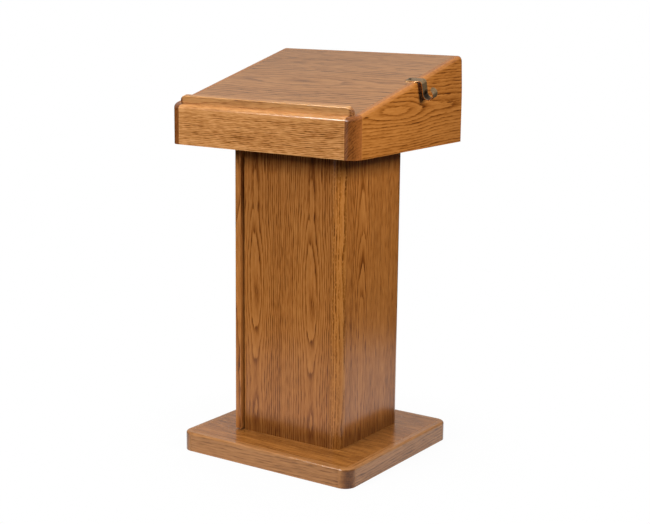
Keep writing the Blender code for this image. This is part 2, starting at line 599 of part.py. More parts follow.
def build_hook(top):
    """One strap of bronze, screwed to the reading top and curled up beside the desk."""
    path = hook_path()
    edit = bmesh.new()
    line = [edit.verts.new((x, y, -HOOK_WIDTH / 2)) for x, y in path]
    edges = [edit.edges.new(pair) for pair in zip(line, line[1:])]
    grown = bmesh.ops.extrude_edge_only(edit, edges=edges)
    moved = [item for item in grown["geom"] if isinstance(item, bmesh.types.BMVert)]
    bmesh.ops.translate(edit, verts=moved, vec=(0.0, 0.0, HOOK_WIDTH))
    tip = Vector((*path[-1], 0.0))
    for vertex in edit.verts:
        from_tip = (Vector((vertex.co.x, vertex.co.y, 0.0)) - tip).length
        if from_tip < HOOK_TIP_ROUND:
            inside = (HOOK_TIP_ROUND - from_tip) / HOOK_TIP_ROUND
            vertex.co.z *= max(math.sqrt(1 - inside * inside), FIT_GAP / HOOK_TIP_ROUND)
    frame = on_slope(DESK_FRONT + HOOK_CENTRE_FROM_FRONT)
    bmesh.ops.transform(edit, matrix=frame, verts=edit.verts)
    hook = add_piece("edge_hook", edit, BRONZE, frame.translation)
    shell = hook.modifiers.new("strap_thickness", "SOLIDIFY")
    shell.thickness = HOOK_THICKNESS
    shell.offset = 0.0
    shell.use_even_offset = True
    screw_x = path[0][0] + HOOK_SCREW_INSET
    down = -frame.col[1].to_3d()
    seat = frame @ Vector((screw_x, HOOK_THICKNESS + FIT_GAP * 2, 0.0))
    screw_piece("hook_screw", seat, down, HOOK_SCREW_LENGTH, BRONZE)
    hole_length = 2 * HOOK_SCREW_LENGTH + FIT_GAP
    hole = add_cutter("hook_screw_hole", rod_edit([seat], SCREW_HOLE_RADIUS, hole_length, down))
    cut(hook, hole)
    cut(top, hole)


def build_fixing_screws(name, head_level, pieces):
    """Four screws driven upwards through one board into the next, near the column's corners."""
    xs = (COLUMN_LEFT + SCREW_INSET + STILE_THICKNESS, COLUMN_RIGHT - SCREW_INSET)
    ys = (COLUMN_FRONT + SCREW_INSET, COLUMN_BACK - SCREW_INSET)
    seats = [Vector((x, y, head_level)) for y in ys for x in xs]
    for number, seat in enumerate(seats, start=1):
        screw_piece(f"{name}_screw_{number}", seat, (0, 0, 1), SCREW_LENGTH, STEEL)
    hole_length = 2 * (SCREW_LENGTH + FIT_GAP)
    holes = add_cutter(f"{name}_screw_holes", rod_edit(seats, SCREW_HOLE_RADIUS, hole_length, (0, 0, 1)))
    for piece in pieces:
        cut(piece, holes)


for old in list(bpy.data.objects):
    bpy.data.objects.remove(old, do_unlink=True)

PARTS = collection("lectern")
CUTTERS = collection("lectern_cutters")

OAK_PANEL = finish("oak_veneer", (0.36, 0.16, 0.055), 0.38)
OAK_SOLID = finish("oak_solid", (0.40, 0.18, 0.06), 0.36)
OAK_POST = finish("oak_post", (0.25, 0.10, 0.035), 0.36)
OAK_INSIDE = finish("oak_inside", (0.42, 0.24, 0.11), 0.55)
BRONZE = finish("aged_bronze", (0.20, 0.16, 0.11), 0.4, 0.9)
BRASS = finish("hinge_brass", (0.55, 0.40, 0.18), 0.35, 1.0)
STEEL = finish("bright_steel", (0.55, 0.55, 0.54), 0.35, 1.0)
CATCH_BLACK = finish("catch_plastic", (0.02, 0.02, 0.02), 0.5)

base_top = build_plinth()
column_bottom, column_top = build_column()
build_shelves()
build_door()
desk_bottom, reading_top = build_desk()
build_book_stop()
build_hook(reading_top)
build_fixing_screws("base", BASE_HEIGHT - BASE_TOP_THICKNESS - FIT_GAP, (base_top, column_bottom))
build_fixing_screws("desk", CUPBOARD_CEILING - FIT_GAP, (column_top, desk_bottom))
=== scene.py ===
"""Floor-standing oak lectern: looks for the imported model, in metres, +Z up, speaker on the -Y side."""
import math

import bpy
from mathutils import Matrix, Vector


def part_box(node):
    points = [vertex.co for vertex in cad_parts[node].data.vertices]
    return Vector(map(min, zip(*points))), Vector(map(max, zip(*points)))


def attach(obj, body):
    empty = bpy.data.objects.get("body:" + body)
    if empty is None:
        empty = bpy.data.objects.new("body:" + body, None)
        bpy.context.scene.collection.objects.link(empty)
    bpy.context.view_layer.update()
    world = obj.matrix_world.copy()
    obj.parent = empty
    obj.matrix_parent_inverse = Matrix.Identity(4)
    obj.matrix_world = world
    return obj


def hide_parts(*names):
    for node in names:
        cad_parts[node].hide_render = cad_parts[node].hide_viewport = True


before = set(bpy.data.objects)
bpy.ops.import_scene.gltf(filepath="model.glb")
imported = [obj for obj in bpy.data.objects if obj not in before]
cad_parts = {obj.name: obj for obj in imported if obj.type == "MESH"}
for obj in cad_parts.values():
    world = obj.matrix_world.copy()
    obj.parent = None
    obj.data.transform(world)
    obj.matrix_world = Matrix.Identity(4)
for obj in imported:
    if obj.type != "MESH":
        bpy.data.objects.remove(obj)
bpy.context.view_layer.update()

# Plinth rails: four lengths of solid oak round the plinth, glued to the corner blocks, their top outer
# edge rounded with a router and the other edges eased with sandpaper, under a semi-gloss lacquer.
RAIL_ROUND = 0.007
RAIL_EASE = 0.0006
RAIL_END_STAIN = 0.16
RAIL_TONES = ((0.375, 0.167, 0.054), (0.277, 0.115, 0.032), (0.14, 0.047, 0.009), (0.056, 0.017, 0.004))


class Lacquer:
    """A socket among a finish's nodes that can be used in sums."""

    def __init__(self, tree, socket):
        self.tree = tree
        self.socket = socket

    def node(self, kind, settings, sockets, output=0):
        """A new node of the same finish, as the socket that it gives."""
        made = self.tree.nodes.new(kind)
        for name, value in settings.items():
            setattr(made, name, value)
        for key, value in sockets.items():
            if isinstance(value, Lacquer):
                self.tree.links.new(value.socket, made.inputs[key])
            else:
                made.inputs[key].default_value = value
        return Lacquer(self.tree, made.outputs[output])

    def feed(self, shader, name):
        self.tree.links.new(self.socket, shader.inputs[name])

    def ramp(self, *stops):
        """Colours or greys that this socket picks, each at its place from 0 to 1."""
        made = self.node("ShaderNodeValToRGB", {}, {0: self})
        elements = made.socket.node.color_ramp.elements
        while len(elements) < len(stops):
            elements.new(0.5)
        for element, (place, colour) in zip(elements, stops):
            element.position = place
            element.color = (*colour, 1.0) if isinstance(colour, tuple) else (colour, colour, colour, 1.0)
        return made

    def smooth(self, low, high, stop=1.0, start=0.0):
        """Ease from start to stop while this socket goes from low to high."""
        return self.node("ShaderNodeMapRange", {"interpolation_type": "SMOOTHSTEP"},
                         {0: self, 1: low, 2: high, 3: start, 4: stop})

    def noise(self, scale, detail, roughness=0.5, output=0):
        return self.node("ShaderNodeTexNoise", {}, {
            "Vector": self, "Scale": scale, "Detail": detail, "Roughness": roughness}, output)

    def bump(self, strength, distance):
        return self.node("ShaderNodeBump", {}, {"Strength": strength, "Distance": distance, "Height": self})

    def mix(self, factor, first, second, blend="MIX"):
        colours = [value if isinstance(value, Lacquer) else (*value, 1.0) for value in (first, second)]
        return self.node("ShaderNodeMix", {"data_type": "RGBA", "blend_type": blend},
                         {0: factor, 6: colours[0], 7: colours[1]}, 2)

    def vector(self, operation, first, second, output=0):
        return self.node("ShaderNodeVectorMath", {"operation": operation}, {0: first, 1: second}, output)

    def ways(self):
        """The three parts of a place."""
        parts = self.node("ShaderNodeSeparateXYZ", {}, {0: self}).socket.node.outputs
        return [Lacquer(self.tree, part) for part in parts]

    def math(self, operation, first, second=0.0, clamp=False):
        return self.node("ShaderNodeMath", {"operation": operation, "use_clamp": clamp}, {0: first, 1: second})

    def __abs__(self):
        return self.math("ABSOLUTE", self)

    def __add__(self, other):
        return self.math("ADD", self, other)

    def __radd__(self, other):
        return self.math("ADD", other, self)

    def __sub__(self, other):
        return self.math("SUBTRACT", self, other)

    def __rsub__(self, other):
        return self.math("SUBTRACT", other, self)

    def __mul__(self, other):
        return self.math("MULTIPLY", self, other)

    def __rmul__(self, other):
        return self.math("MULTIPLY", other, self)


def new_finish(name):
    """A material with only its shader, and the node that reads places on the piece."""
    made = bpy.data.materials.new(name)
    made.use_nodes = True
    shader = made.node_tree.nodes["Principled BSDF"]
    place = made.node_tree.nodes.new("ShaderNodeTexCoord").outputs["Object"]
    return made, shader, Lacquer(made.node_tree, place)


def oak(name, middle, size, along, face, tones, heart=(0.0, -0.05), lean=0.0, crown=None, ring=0.008,
        leaf=None, slant=0.0, bold=0.6, grain=0.6, short=1.4, pores=0.15, flecks=0.0, end=None, turned=None,
        lip=None, foot=None, wear=0.002, gloss=1.0, seed=1.0):
    """Lacquered oak sawn from a log: growth rings round a heart line that runs along the board.

    The heart lies to one side of and below the board's face; lean and crown bring it nearer along the
    board, which makes the pointed arches of flat-sawn oak. A leaf repeats the figure in a second veneer,
    an end is where end grain takes more stain, at both ends if its places are past the middle, turned is
    the stain that a rounded piece gains towards its face, and a lip is a plain solid edge under a sloping
    plane. A foot is painted shade, which darkens an upright board towards its bottom and thins its lacquer there.
    """
    made, shader, spot = new_finish(name)
    along = Vector(along).normalized()
    face = Vector(face).normalized()
    turn = Matrix((along, face.cross(along), face))
    board = spot.node("ShaderNodeMapping", {}, {
        "Vector": spot, "Rotation": turn.to_euler(), "Location": -(turn @ Vector(middle))})
    square = board.ways()
    square_run, _, square_depth = square
    to_end, to_side, to_face = (length / 2 - abs(way) for length, way in zip(size, square))
    if slant:
        board = board.node("ShaderNodeVectorRotate", {"rotation_type": "Z_AXIS"},
                           {"Vector": board, "Angle": slant})
    if leaf:
        seam, shift_run, shift_across = leaf
        second = board.math("GREATER_THAN", board.ways()[1], seam)
        moved = board.node("ShaderNodeCombineXYZ", {}, {0: second * shift_run, 1: second * shift_across})
        board = board.vector("SUBTRACT", board, moved)
    run, across, depth = board.ways()

    def drawn_out(times, scale, detail, output=0):
        """Noise that is longer along the grain than across it."""
        drawn = board.node("ShaderNodeVectorMath", {"operation": "MULTIPLY_ADD"}, {
            0: board, 1: (1.0, times, times), 2: (seed * 1.37, seed * 2.71, seed * 0.83)})
        return drawn.noise(scale, detail, 0.6, output)

    # The noises of the wood, from the slow wander of its rings to single fibres.
    wander_across, wander_depth = 0.016, 0.018
    drift = board.node("ShaderNodeSeparateColor", {}, {0: drawn_out(3.0, 3.4, 2.0, 1)}).socket.node.outputs
    drift_across, drift_depth = (Lacquer(board.tree, part) - 0.5 for part in drift[:2])
    tone = drawn_out(4.0, 1.8, 2.0) - 0.5
    streak = drawn_out(30.0, 2.4, 3.0)
    dash = drawn_out(17.0 / short, 18.0 * short, 1.0)
    fibre = drawn_out(18.0, 25.0, 2.0)

    # The rings, as years from the heart: dark open spring wood at the start of each, paler after it.
    from_heart = across - heart[0] + drift_across * wander_across
    under_face = depth - heart[1] + run * lean + drift_depth * wander_depth
    if crown:
        middle_run, reach, drop = crown
        under_face = under_face + abs(run - middle_run).smooth(0.0, reach, drop)
    away = board.node("ShaderNodeCombineXYZ", {}, {0: from_heart, 1: under_face})
    years = board.node("ShaderNodeVectorMath", {"operation": "LENGTH"}, {0: away}, 1) * (1 / ring)
    years = years + (dash - 0.5) * 0.3 + (fibre - 0.5) * 0.25
    vigour = board.node("ShaderNodeTexWhiteNoise", {"noise_dimensions": "1D"}, {
        "W": board.math("FLOOR", years) + seed * 7.3})
    spring = board.math("FRACT", years).ramp(
        (0.0, 1.0), (0.12, 0.85), (0.32, 0.40), (0.60, 0.08), (0.90, 0.0), (1.0, 1.0))
    line = spring * (vigour * 0.6 + 0.5) * (dash * 1.2 + 0.4) * bold
    if end:
        line = line + (abs(square_run) if end[0] > 0 else square_run).smooth(*end)
    if turned:
        line = line + square_depth.smooth(*turned)
    if lip:
        point, slope, thickness = lip
        joint, plain = 0.0015, 0.04
        under = spot.vector("DOT_PRODUCT", spot.vector("SUBTRACT", point, spot), slope, 1)
        solid = 1 - under.smooth(thickness - joint, thickness + joint)
        line = line * (1 - solid) + solid * plain

    # The stain, which gathers in the lines and the pores, and the colour that it gives.
    middle_stain = 0.22
    stain = line + (dash - 0.5) * grain + fibre.smooth(0.48, 0.74, pores) + (fibre - 0.5) * (2 * pores)
    stain = stain + (streak - 0.5) * 0.6 + tone * 0.5 + middle_stain
    colour = stain.ramp(*zip((0.0, 0.40, 0.78, 1.0), tones))
    if flecks:
        ray_cells, ray_reach, ray_edge = (90.0, 260.0, 260.0), 0.42, 2.4
        rays = board.vector("MULTIPLY", board, ray_cells)
        ray = board.node("ShaderNodeTexVoronoi", {}, {"Vector": rays, "Scale": 1.0})
        ray = board.math("MULTIPLY", board.math("SUBTRACT", ray_reach, ray, True), flecks * ray_edge, True)
        colour = board.mix(ray, colour, tones[0])
    # Painted shade at the foot of an upright board: the colour darkens towards its bottom and the lacquer is thinned
    # there.
    if foot:
        foot_shade_colour, foot_shade_dulls = (0.50, 0.46, 0.36), 0.65
        painted_shade_mask = square_run.smooth(*foot)
        colour = board.mix(painted_shade_mask, colour, foot_shade_colour, "MULTIPLY")
        gloss = gloss * (1 - painted_shade_mask * foot_shade_dulls)

    # Handling, which rubs the lacquer thin along the edges, and the lacquer itself over the open grain.
    corner = board.math("MINIMUM", board.math("MAXIMUM", to_end, to_side), board.math("MAXIMUM", to_side, to_face))
    corner = board.math("MINIMUM", corner, board.math("MAXIMUM", to_end, to_face))
    rubbed = board.math("MULTIPLY", board.math("SUBTRACT", wear, corner, True) * (1 / wear), streak * 1.1, True)
    pale = tuple(min(1.0, value * 1.15) for value in tones[0])
    board.mix(rubbed * 0.5, colour, pale).feed(shader, "Base Color")
    (0.40 + (fibre - 0.5) * 0.25 + rubbed * 0.12).feed(shader, "Roughness")
    (gloss * (1 - rubbed * 0.45 - tone * 0.3)).feed(shader, "Coat Weight")
    (1 - spring * 0.5 - fibre * 0.8).bump(0.12, 0.0004).feed(shader, "Normal")
    shader.inputs["Specular IOR Level"].default_value = 0.04
    shader.inputs["Coat Roughness"].default_value = 0.17
    shader.inputs["Coat IOR"].default_value = 1.42
    return made


def middle_and_size(node, along, face):
    """A node's middle, and its length along the grain, width and thickness."""
    low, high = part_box(node)
    across = Vector(face).cross(Vector(along))
    return (low + high) / 2, [abs((high - low).dot(Vector(way))) for way in (along, across, face)]


def board_oak(name, node, along, face, tones, **figure):
    """Oak for a board that fills a node's box."""
    return oak(name, *middle_and_size(node, along, face), along, face, tones, **figure)


def take(piece):
    """Make a piece the only one that is selected, and the active one."""
    bpy.ops.object.select_all(action="DESELECT")
    piece.select_set(True)
    bpy.context.view_layer.objects.active = piece


def settle(piece, place, turn=(0.0, 0.0, 0.0)):
    """Turn a piece and move it to its place, which stays in its mesh."""
    take(piece)
    piece.rotation_euler = turn
    piece.location = place
    bpy.ops.object.transform_apply(location=True, rotation=True, scale=True)


def box_board(name, low, high):
    """A cube brought to a board's two corners, with its place in its mesh."""
    bpy.ops.object.select_all(action="DESELECT")
    bpy.ops.mesh.primitive_cube_add(size=1.0, location=(low + high) / 2, scale=high - low)
    bpy.ops.object.transform_apply(location=True, rotation=True, scale=True)
    bpy.context.object.name = name
    return bpy.context.object


def near(value, target):
    return abs(value - target) < 0.00005


def pick_edges(piece, wanted):
    """Select, in edit mode, the edges whose ends both pass a test on their place."""
    bpy.ops.object.mode_set(mode="EDIT")
    bpy.ops.mesh.select_mode(type="EDGE")
    bpy.ops.mesh.select_all(action="DESELECT")
    bpy.ops.object.mode_set(mode="OBJECT")
    for edge in piece.data.edges:
        edge.select = all(wanted(piece.data.vertices[end].co) for end in edge.vertices)
    bpy.ops.object.mode_set(mode="EDIT")


def rout(piece, radius, steps, wanted):
    """Round over the edges that pass a test, as a router does."""
    pick_edges(piece, wanted)
    bpy.ops.mesh.bevel(offset=radius, offset_type="OFFSET", segments=steps, profile=0.5, clamp_overlap=False)
    bpy.ops.object.mode_set(mode="OBJECT")


def sand(piece, radius):
    """Ease every edge that is still sharp."""
    bpy.ops.object.mode_set(mode="EDIT")
    bpy.ops.mesh.select_mode(type="EDGE")
    bpy.ops.mesh.select_all(action="DESELECT")
    bpy.ops.mesh.edges_select_sharp(sharpness=math.radians(48))
    bpy.ops.mesh.bevel(offset=radius, offset_type="OFFSET", segments=2, profile=0.5, clamp_overlap=True)
    bpy.ops.object.mode_set(mode="OBJECT")


def fit(piece, finish, slot, body, *nodes):
    """Smooth a finished piece, give it its finish and hang it on its body in place of its solids."""
    take(piece)
    bpy.ops.object.shade_smooth_by_angle(angle=math.radians(40))
    piece.modifiers.new("flat_faces", "WEIGHTED_NORMAL").keep_sharp = True
    bpy.ops.object.modifier_apply(modifier="flat_faces")
    piece.data.materials.clear()
    piece.data.materials.append(finish)
    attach(piece, body)
    if nodes:
        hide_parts(*nodes)


for number, (side, along, face) in enumerate((
        ("front", (1, 0, 0), (0, -1, 0)), ("back", (1, 0, 0), (0, 1, 0)),
        ("left", (0, 1, 0), (-1, 0, 0)), ("right", (0, 1, 0), (1, 0, 0)))):
    node = f"base_rail_{side}"
    low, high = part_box(node)
    rail = box_board(f"plinth_rail_{side}", low, high)
    outer = max(low.dot(Vector(face)), high.dot(Vector(face)))
    rout(rail, RAIL_ROUND, 8, lambda co: near(co.z, high.z) and near(co.dot(Vector(face)), outer))
    sand(rail, RAIL_EASE)
    half_length = (high - low).dot(Vector(along)) / 2
    meets_block = side in ("front", "back")
    rail_oak = board_oak(f"plinth_rail_oak_{side}", node, along, face, RAIL_TONES, heart=(0.06, -0.05), lean=0.03,
                         ring=0.0066, bold=0.38, grain=0.65, short=1.6, wear=0.0035, seed=3.1 + number,
                         end=(half_length - 0.018, half_length + 0.006, RAIL_END_STAIN) if meets_block else None)
    fit(rail, rail_oak, "oak_solid", "carcass", node)

# Plinth corner blocks: quarter-round blocks of solid oak that carry the front and back rails round the
# corner, rebated behind for the rails; where the grain runs out on the curve, the stain is much darker.
RAIL_THICKNESS = 0.022
BLOCK_EASE = 0.0004
BLOCK_TOP_EDGE = 0.003


def weld(piece):
    """Join the vertices that a full-width round brings together."""
    bpy.ops.object.mode_set(mode="EDIT")
    bpy.ops.mesh.select_all(action="SELECT")
    bpy.ops.mesh.remove_doubles(threshold=0.00001)
    bpy.ops.mesh.dissolve_degenerate(threshold=0.00001)
    bpy.ops.object.mode_set(mode="OBJECT")


def cut(piece, cutter):
    """Cut another shape out of a piece and take that shape away."""
    take(piece)
    saw = piece.modifiers.new("saw", "BOOLEAN")
    saw.object = cutter
    bpy.ops.object.modifier_apply(modifier="saw")
    bpy.data.objects.remove(cutter)


def round_post(name, low, high, side_x, side_y, wall, top_round=0.0, pitch=None):
    """A square post with its outer corner rounded to a quarter circle and its inner corner rebated.

    The top can be pitched to a slope before its outer edge is rounded over.
    """
    past = 0.02
    post = box_board(name, low, high)
    outer = Vector((high.x if side_x > 0 else low.x, high.y if side_y > 0 else low.y))
    inner = low.xy + high.xy - outer
    radius = high.x - low.x
    half_way = (low.z + high.z) / 2
    rout(post, radius, 14, lambda co: near(co.x, outer.x) and near(co.y, outer.y))
    weld(post)
    if pitch:
        pitch(post)
    if top_round:
        rout(post, top_round, 8, lambda co: co.z > half_way and near((co.xy - inner).length, radius))
    x = sorted((inner.x - side_x * past, outer.x - side_x * wall))
    y = sorted((inner.y - side_y * past, outer.y - side_y * wall))
    cut(post, box_board("rebate", Vector((x[0], y[0], low.z - past)), Vector((x[1], y[1], high.z + past))))
    return post


for number, (end, hand) in enumerate((e, h) for e in ("front", "back") for h in ("left", "right")):
    node = f"base_corner_{end}_{hand}"
    low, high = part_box(node)
    side_x = -1 if hand == "left" else 1
    side_y = -1 if end == "front" else 1
    block = round_post(f"plinth_corner_{end}_{hand}", low, high, side_x, side_y, RAIL_THICKNESS, RAIL_ROUND)
    sand(block, BLOCK_EASE)
    block_oak = board_oak(f"plinth_corner_oak_{end}_{hand}", node, (side_x, 0, 0), (0, side_y, 0), RAIL_TONES,
                          heart=(0.300, -0.030), ring=0.007, bold=0.05, grain=0.25, pores=0.05,
                          end=(-0.022, 0.006, 0.62), turned=(0.0, -0.55 * (high.x - low.x), -0.30),
                          lip=((0, 0, high.z), (0, 0, 1), BLOCK_TOP_EDGE), wear=0.002, seed=11.2 + number)
    fit(block, block_oak, "oak_post", "carcass", node)

# Plinth top and bottom: a veneered board let in flush between the rails, lacquered with them, and a thin
# sealed board that closes the underside.
TOP_TONES = ((0.385, 0.160, 0.038), (0.285, 0.107, 0.021), (0.15, 0.046, 0.006), (0.065, 0.018, 0.002))
INSIDE_TONES = ((0.58, 0.37, 0.19), (0.45, 0.265, 0.122), (0.30, 0.155, 0.065), (0.16, 0.075, 0.030))


def dress(node, finish):
    """Give a CAD solid that is already the right shape its real finish."""
    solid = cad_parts[node]
    solid.data.materials.clear()
    solid.data.materials.append(finish)


dress("base_top_panel", board_oak(
    "plinth_top_oak", "base_top_panel", (1, 0, 0), (0, 0, 1), TOP_TONES, heart=(-0.45, -0.06), lean=0.05,
    ring=0.008, bold=0.9, grain=0.9, short=1.2, wear=0.0012, seed=21.4))
dress("base_bottom_panel", board_oak(
    "plinth_bottom_oak", "base_bottom_panel", (1, 0, 0), (0, 0, -1), INSIDE_TONES, heart=(0.05, -0.12),
    ring=0.008, gloss=0.25, seed=25.0))

# Column panels: three oak-veneered boards stood on the plinth, with upright grain, on the front and back in
# two leaves of the same figure side by side, glued to the posts at the right, with painted shade darkening them at
# the foot.
PANEL_EASE = 0.0006
# Painted shade at the column's foot starts at FOOT_TOP and is darkest at FOOT_DARK, along the grain from each
# board's middle.
FOOT_TOP = -0.345
FOOT_DARK = -0.410
PANEL_TONES = ((0.416, 0.166, 0.039), (0.315, 0.112, 0.022), (0.172, 0.048, 0.005), (0.072, 0.018, 0.002))
RIGHT_TONES = ((0.450, 0.176, 0.040), (0.342, 0.119, 0.022), (0.190, 0.052, 0.005), (0.082, 0.019, 0.002))
for side, face, tones, heart, lean, crown, leaf, seed in (
        ("front", (0, -1, 0), PANEL_TONES, (-0.084, -0.0145), 0.0, (0.03, 0.30, 0.014), (0.014, 0.012, 0.196), 31.7),
        ("right", (1, 0, 0), RIGHT_TONES, (0.055, -0.020), 0.02, (-0.10, 0.35, 0.010), None, 37.2),
        ("back", (0, 1, 0), PANEL_TONES, (0.030, -0.020), 0.0, (0.12, 0.30, 0.014), (-0.05, 0.03, 0.18), 41.9)):
    node = f"column_{side}_panel"
    panel = box_board(f"pillar_{side}_panel", *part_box(node))
    sand(panel, PANEL_EASE)
    panel_oak = board_oak(f"{node}_oak", node, (0, 0, 1), face, tones, heart=heart, lean=lean, crown=crown,
                          leaf=leaf, ring=0.0062, bold=0.70, grain=0.72, pores=0.22,
                          foot=(FOOT_TOP, FOOT_DARK, 0.90), wear=0.0016, seed=seed)
    fit(panel, panel_oak, "oak_veneer", "carcass", node)

# Column posts: two quarter-round posts of solid oak at the right corners, sawn on the quarter, so the
# straight grain carries small pale ray flecks; like the panels they have painted shade at the foot.
PANEL_THICKNESS = 0.019
POST_TONES = ((0.43, 0.172, 0.040), (0.330, 0.120, 0.022), (0.19, 0.058, 0.007), (0.09, 0.024, 0.003))
for end, side_y, seed in (("front", -1, 51.3), ("back", 1, 55.8)):
    node = f"column_post_{end}"
    post = round_post(f"pillar_post_{end}", *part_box(node), 1, side_y, PANEL_THICKNESS)
    post_oak = board_oak(f"pillar_post_oak_{end}", node, (0, 0, 1), (0, side_y, 0), POST_TONES,
                         heart=(0.22, -0.03), ring=0.006, bold=0.7, pores=0.3, flecks=1.1,
                         foot=(FOOT_TOP, FOOT_DARK, 0.75), wear=0.0012, seed=seed)
    fit(post, post_oak, "oak_post", "carcass", node)

# Cupboard inside the column: jamb stiles that frame the door's opening, plates at the foot and head, and
# two fixed shelves on screwed cleats, all of thinly sealed oak with a duller surface.
STILE_EASE = 0.0010
SHELF_EASE = 0.0014
for number, (node, along, face, radius) in enumerate((
        ("jamb_stile_front", (0, 0, 1), (-1, 0, 0), STILE_EASE),
        ("jamb_stile_back", (0, 0, 1), (-1, 0, 0), STILE_EASE),
        ("shelf_1", (0, 1, 0), (0, 0, 1), SHELF_EASE), ("shelf_2", (0, 1, 0), (0, 0, 1), SHELF_EASE),
        ("shelf_1_cleat_front", (1, 0, 0), (0, 1, 0), STILE_EASE),
        ("shelf_1_cleat_back", (1, 0, 0), (0, -1, 0), STILE_EASE),
        ("shelf_2_cleat_front", (1, 0, 0), (0, 1, 0), STILE_EASE),
        ("shelf_2_cleat_back", (1, 0, 0), (0, -1, 0), STILE_EASE))):
    board = box_board(f"cupboard_{node}", *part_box(node))
    sand(board, radius)
    stile = node.startswith("jamb")
    inside_oak = board_oak(f"cupboard_oak_{node}", node, along, face, PANEL_TONES if stile else INSIDE_TONES,
                           heart=(0.02, -0.06), lean=0.04, ring=0.006, wear=0.002, gloss=0.7 if stile else 0.3,
                           seed=61.0 + 3 * number)
    fit(board, inside_oak, "oak_solid" if stile else "oak_inside", "carcass", node)
for number, node in enumerate(("column_bottom_plate", "column_top_plate")):
    dress(node, board_oak(f"{node}_oak", node, (0, 1, 0), (0, 0, 1), INSIDE_TONES, heart=(0.06, -0.08), lean=0.05,
                          ring=0.007, gloss=0.3, seed=91.0 + 2 * number))

# Fixing screws: plated steel screws driven up through the plinth and the column's top plate, seen only
# from inside the cupboard and from below.


def metal(name, bright, dull, roughness, tarnish, strap=None, curl_shade=None):
    """A metal with fine rubbing marks and patches of tarnish.

    A strap's edges are painted brighter, partly as rubbed wear and partly as a highlight along them, and the last
    argument adds painted shade that darkens the colour round a place.
    """
    made, shader, spot = new_finish(name)
    patches = spot.noise(140.0, 4.0, 0.65)
    rubs = spot.vector("MULTIPLY", spot, (900.0, 900.0, 40.0)).noise(1.0, 2.0)
    amount = spot.math("MULTIPLY", (patches - 0.5) * 1.6 + (rubs - 0.5) * 0.5 + tarnish, 1.0, True)
    # Strap edges brighter: partly rubbed wear, partly a painted highlight along the edges.
    if strap:
        middle, across, half = strap
        rubbed_and_highlight_edge = 0.0016
        off = spot.vector("DOT_PRODUCT", spot.vector("SUBTRACT", spot, middle), across, 1)
        amount = amount * abs(off).smooth(half - rubbed_and_highlight_edge, half, start=1.0, stop=0.1)
    colour = spot.mix(amount, bright, dull)
    # Painted shade: the colour darkens towards a place, as in the hollow of the hook's curl.
    if curl_shade:
        place, reach, shade = curl_shade
        painted_shade_mask = spot.vector("DISTANCE", spot, place, 1).smooth(reach, reach * 0.35)
        colour = spot.mix(painted_shade_mask, colour, shade, "MULTIPLY")
    colour.feed(shader, "Base Color")
    (roughness + amount * 0.22 + (rubs - 0.5) * 0.12).feed(shader, "Roughness")
    (1 - amount * 0.25).feed(shader, "Metallic")
    (rubs + patches * 0.5).bump(0.08, 0.0002).feed(shader, "Normal")
    return made


steel = metal("plated_steel", (0.62, 0.62, 0.60), (0.34, 0.33, 0.31), 0.24, 0.25)
for place in ("base", "desk"):
    for number in range(1, 5):
        dress(f"{place}_screw_{number}", steel)

# Door: one veneered slab on the column's left, its front edge standing past the column as a finger pull,
# with all its edges eased.
DOOR_EASE = 0.0012
DOOR_TONES = ((0.47, 0.190, 0.050), (0.350, 0.130, 0.030), (0.20, 0.062, 0.010), (0.08, 0.022, 0.004))
door = box_board("cupboard_door", *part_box("door_panel"))
sand(door, DOOR_EASE)
door_oak = board_oak("door_oak", "door_panel", (0, 0, 1), (-1, 0, 0), DOOR_TONES, heart=(-0.07, -0.018),
                     crown=(0.06, 0.3, 0.014), leaf=(0.02, 0.02, 0.17), ring=0.0062, bold=0.70, grain=0.72,
                     seed=101.5)
fit(door, door_oak, "oak_veneer", "door", "door_panel")

# Butt hinges: three pairs of satin brass leaves folded in the gap behind the door, each on a loose pin
# and held by three countersunk screws with cross slots, set flush in the leaf.
HINGES = (1, 2, 3)
SCREW_RADIUS = 0.0029
SCREW_DEPTH = 0.0010
SCREW_RIM = 0.00022
SCREW_SUNK = 0.00045
SCREW_FROM_EDGE = 0.010
SCREW_SPREAD = 0.020
SCREW_STAGGER = 0.007
LEAF_OFF_AXIS = 0.0002
brass = metal("hinge_brass", (0.62, 0.43, 0.17), (0.36, 0.24, 0.10), 0.26, 0.22)
for number in HINGES:
    for part in ("frame_leaf", "door_leaf", "pin"):
        dress(f"hinge_{number}_{part}", brass)


def round_bar(name, radius, length, middle, sides):
    """A short upright round bar, with its place in its mesh."""
    bpy.ops.object.select_all(action="DESELECT")
    bpy.ops.mesh.primitive_cylinder_add(vertices=sides, radius=radius, depth=length, location=middle)
    bpy.ops.object.transform_apply(location=True, rotation=True, scale=True)
    bpy.context.object.name = name
    return bpy.context.object


def flush_screw(name, middle, out):
    """A countersunk head seen flush: a low turned disc with a dished rim and a cross slot."""
    head = round_bar(name, SCREW_RADIUS, SCREW_DEPTH, (0, 0, 0), 24)
    rout(head, SCREW_RIM, 2, lambda co: co.z > 0.4 * SCREW_DEPTH)
    slot = Vector((SCREW_RADIUS * 1.3, SCREW_RADIUS * 0.26, SCREW_DEPTH * 0.7))
    for size in (slot, slot.yxz):
        middle_of_slot = Vector((0, 0, SCREW_DEPTH / 2))
        cut(head, box_board("blade", middle_of_slot - size / 2, middle_of_slot + size / 2))
    settle(head, middle, Vector(out).to_track_quat("Z", "Y").to_euler())
    return head


def copy_to(piece, name, move):
    """A copy with its own mesh, moved to another place."""
    take(piece)
    bpy.ops.object.duplicate(linked=False)
    made = bpy.context.object
    made.name = name
    settle(made, move)
    return made


